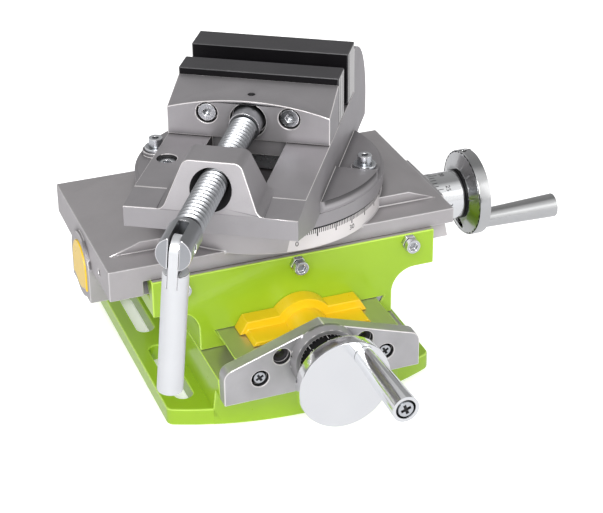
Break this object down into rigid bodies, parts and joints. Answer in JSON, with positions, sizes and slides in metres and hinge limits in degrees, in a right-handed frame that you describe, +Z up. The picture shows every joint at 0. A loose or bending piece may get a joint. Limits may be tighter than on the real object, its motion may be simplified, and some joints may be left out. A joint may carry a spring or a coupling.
{
  "type": "cross slide vise",
  "caption": "Two-axis cross slide vise: green base and saddle on dovetail ways, grey table, swivelling vise with black jaw plates, crank handwheels and a swing-handle screw.",
  "frame": {"origin": "middle of the base plate's underside", "axes": "+X along the table to the X handwheel, -Y to the front handwheel, +Z up"},
  "size_m": [0.245, 0.2348, 0.1444],
  "materials": {
    "lime_paint": "gloss lime green paint",
    "yellow_paint": "gloss yellow paint",
    "cast_metal": "bare cast, satin",
    "black_steel": "black oxide",
    "zinc": "bright zinc plate",
    "chrome": "polished",
    "bronze": "machined"
  },
  "bodies": {
    "base": {"way_block": "lime_paint", "base_flange_left": "lime_paint", "base_flange_right": "lime_paint", "y_bracket": "cast_metal", "y_bracket_screws": "zinc", "y_bush": "bronze"},
    "saddle": {"saddle_casting": "lime_paint", "front_cover": "yellow_paint", "x_gib": "zinc", "y_gib": "zinc", "x_gib_screws": "zinc", "x_gib_nuts": "zinc", "y_gib_screws": "zinc", "y_gib_nuts": "zinc", "x_nut": "bronze", "y_nut": "bronze"},
    "table": {"table_casting": "cast_metal", "end_plug": "yellow_paint", "x_bracket": "cast_metal", "x_bracket_screws": "zinc", "x_bush": "bronze", "swivel_pin": "zinc"},
    "y_screw": {"y_lead_screw": "zinc", "y_collar": "zinc", "y_dial": "black_steel", "y_spacer": "black_steel", "y_handwheel": "chrome", "y_set_screw": "black_steel", "y_crank_spindle": "zinc"},
    "y_grip": {"y_crank_handle": "chrome"},
    "x_screw": {"x_lead_screw": "zinc", "x_collar": "zinc", "x_dial": "chrome", "x_spacer": "black_steel", "x_handwheel": "chrome", "x_set_screw": "black_steel", "x_crank_spindle": "zinc"},
    "x_grip": {"x_crank_handle": "chrome"},
    "vise": {"vise_body": "cast_metal", "fixed_jaw_plate": "black_steel", "fixed_jaw_screws": "zinc", "clamp_screws": "zinc", "clamp_washers": "zinc", "clamp_nuts": "zinc", "rail_screw": "zinc"},
    "moving_jaw": {"moving_jaw": "cast_metal", "moving_jaw_plate": "black_steel", "moving_jaw_screws": "zinc", "jaw_keeper": "zinc", "keeper_screws": "zinc", "screw_pin": "zinc"},
    "vise_screw": {"vise_screw": "zinc", "fork_pin": "zinc"},
    "swing_handle": {"swing_handle": "zinc"}
  },
  "joints": [
    {"name": "saddle_slide", "type": "slide", "parent": "base", "child": "saddle", "axis": [0, 1, 0], "range_m": [-0.005, 0.045]},
    {"name": "y_screw_turn", "type": "hinge", "parent": "base", "child": "y_screw", "pos_m": [0, -0.0995, 0.039], "axis": [0, -1, 0], "range_deg": [-601, 5401]},
    {"name": "y_grip_spin", "type": "hinge", "parent": "y_screw", "child": "y_grip", "pos_m": [0.00844, -0.138, 0.052], "axis": [0, -1, 0], "continuous": true},
    {"name": "table_slide", "type": "slide", "parent": "saddle", "child": "table", "axis": [-1, 0, 0], "range_m": [0, 0.034]},
    {"name": "x_screw_turn", "type": "hinge", "parent": "table", "child": "x_screw", "pos_m": [0.095, -0.0085, 0.0614], "axis": [-1, 0, 0], "range_deg": [-1, 4081]},
    {"name": "x_grip_spin", "type": "hinge", "parent": "x_screw", "child": "x_grip", "pos_m": [0.134, -0.01146, 0.04618], "axis": [-1, 0, 0], "continuous": true},
    {"name": "swivel", "type": "hinge", "parent": "table", "child": "vise", "pos_m": [0, -0.0085, 0.09], "axis": [0, 0, 1], "range_deg": [-27.5, 92.5]},
    {"name": "jaw_slide", "type": "slide", "parent": "vise", "child": "moving_jaw", "axis": [0.5373, 0.8434, 0], "range_m": [-0.038, 0.0105]},
    {"name": "vise_screw_turn", "type": "hinge", "parent": "moving_jaw", "child": "vise_screw", "pos_m": [-0.04906, -0.0855, 0.1279], "axis": [0.5373, 0.8434, 0], "range_deg": [-4561, 1261]},
    {"name": "handle_swing", "type": "hinge", "parent": "vise_screw", "child": "swing_handle", "pos_m": [-0.07576, -0.12742, 0.1279], "axis": [-0.8402, 0.5353, 0.0872], "range_deg": [-20, 90]}
  ],
  "couplings": [
    {"joint": "y_screw_turn", "follows": "saddle_slide", "rad_per_m": 2094.4},
    {"joint": "x_screw_turn", "follows": "table_slide", "rad_per_m": 2094.4},
    {"joint": "vise_screw_turn", "follows": "jaw_slide", "rad_per_m": 2094.4}
  ]
}
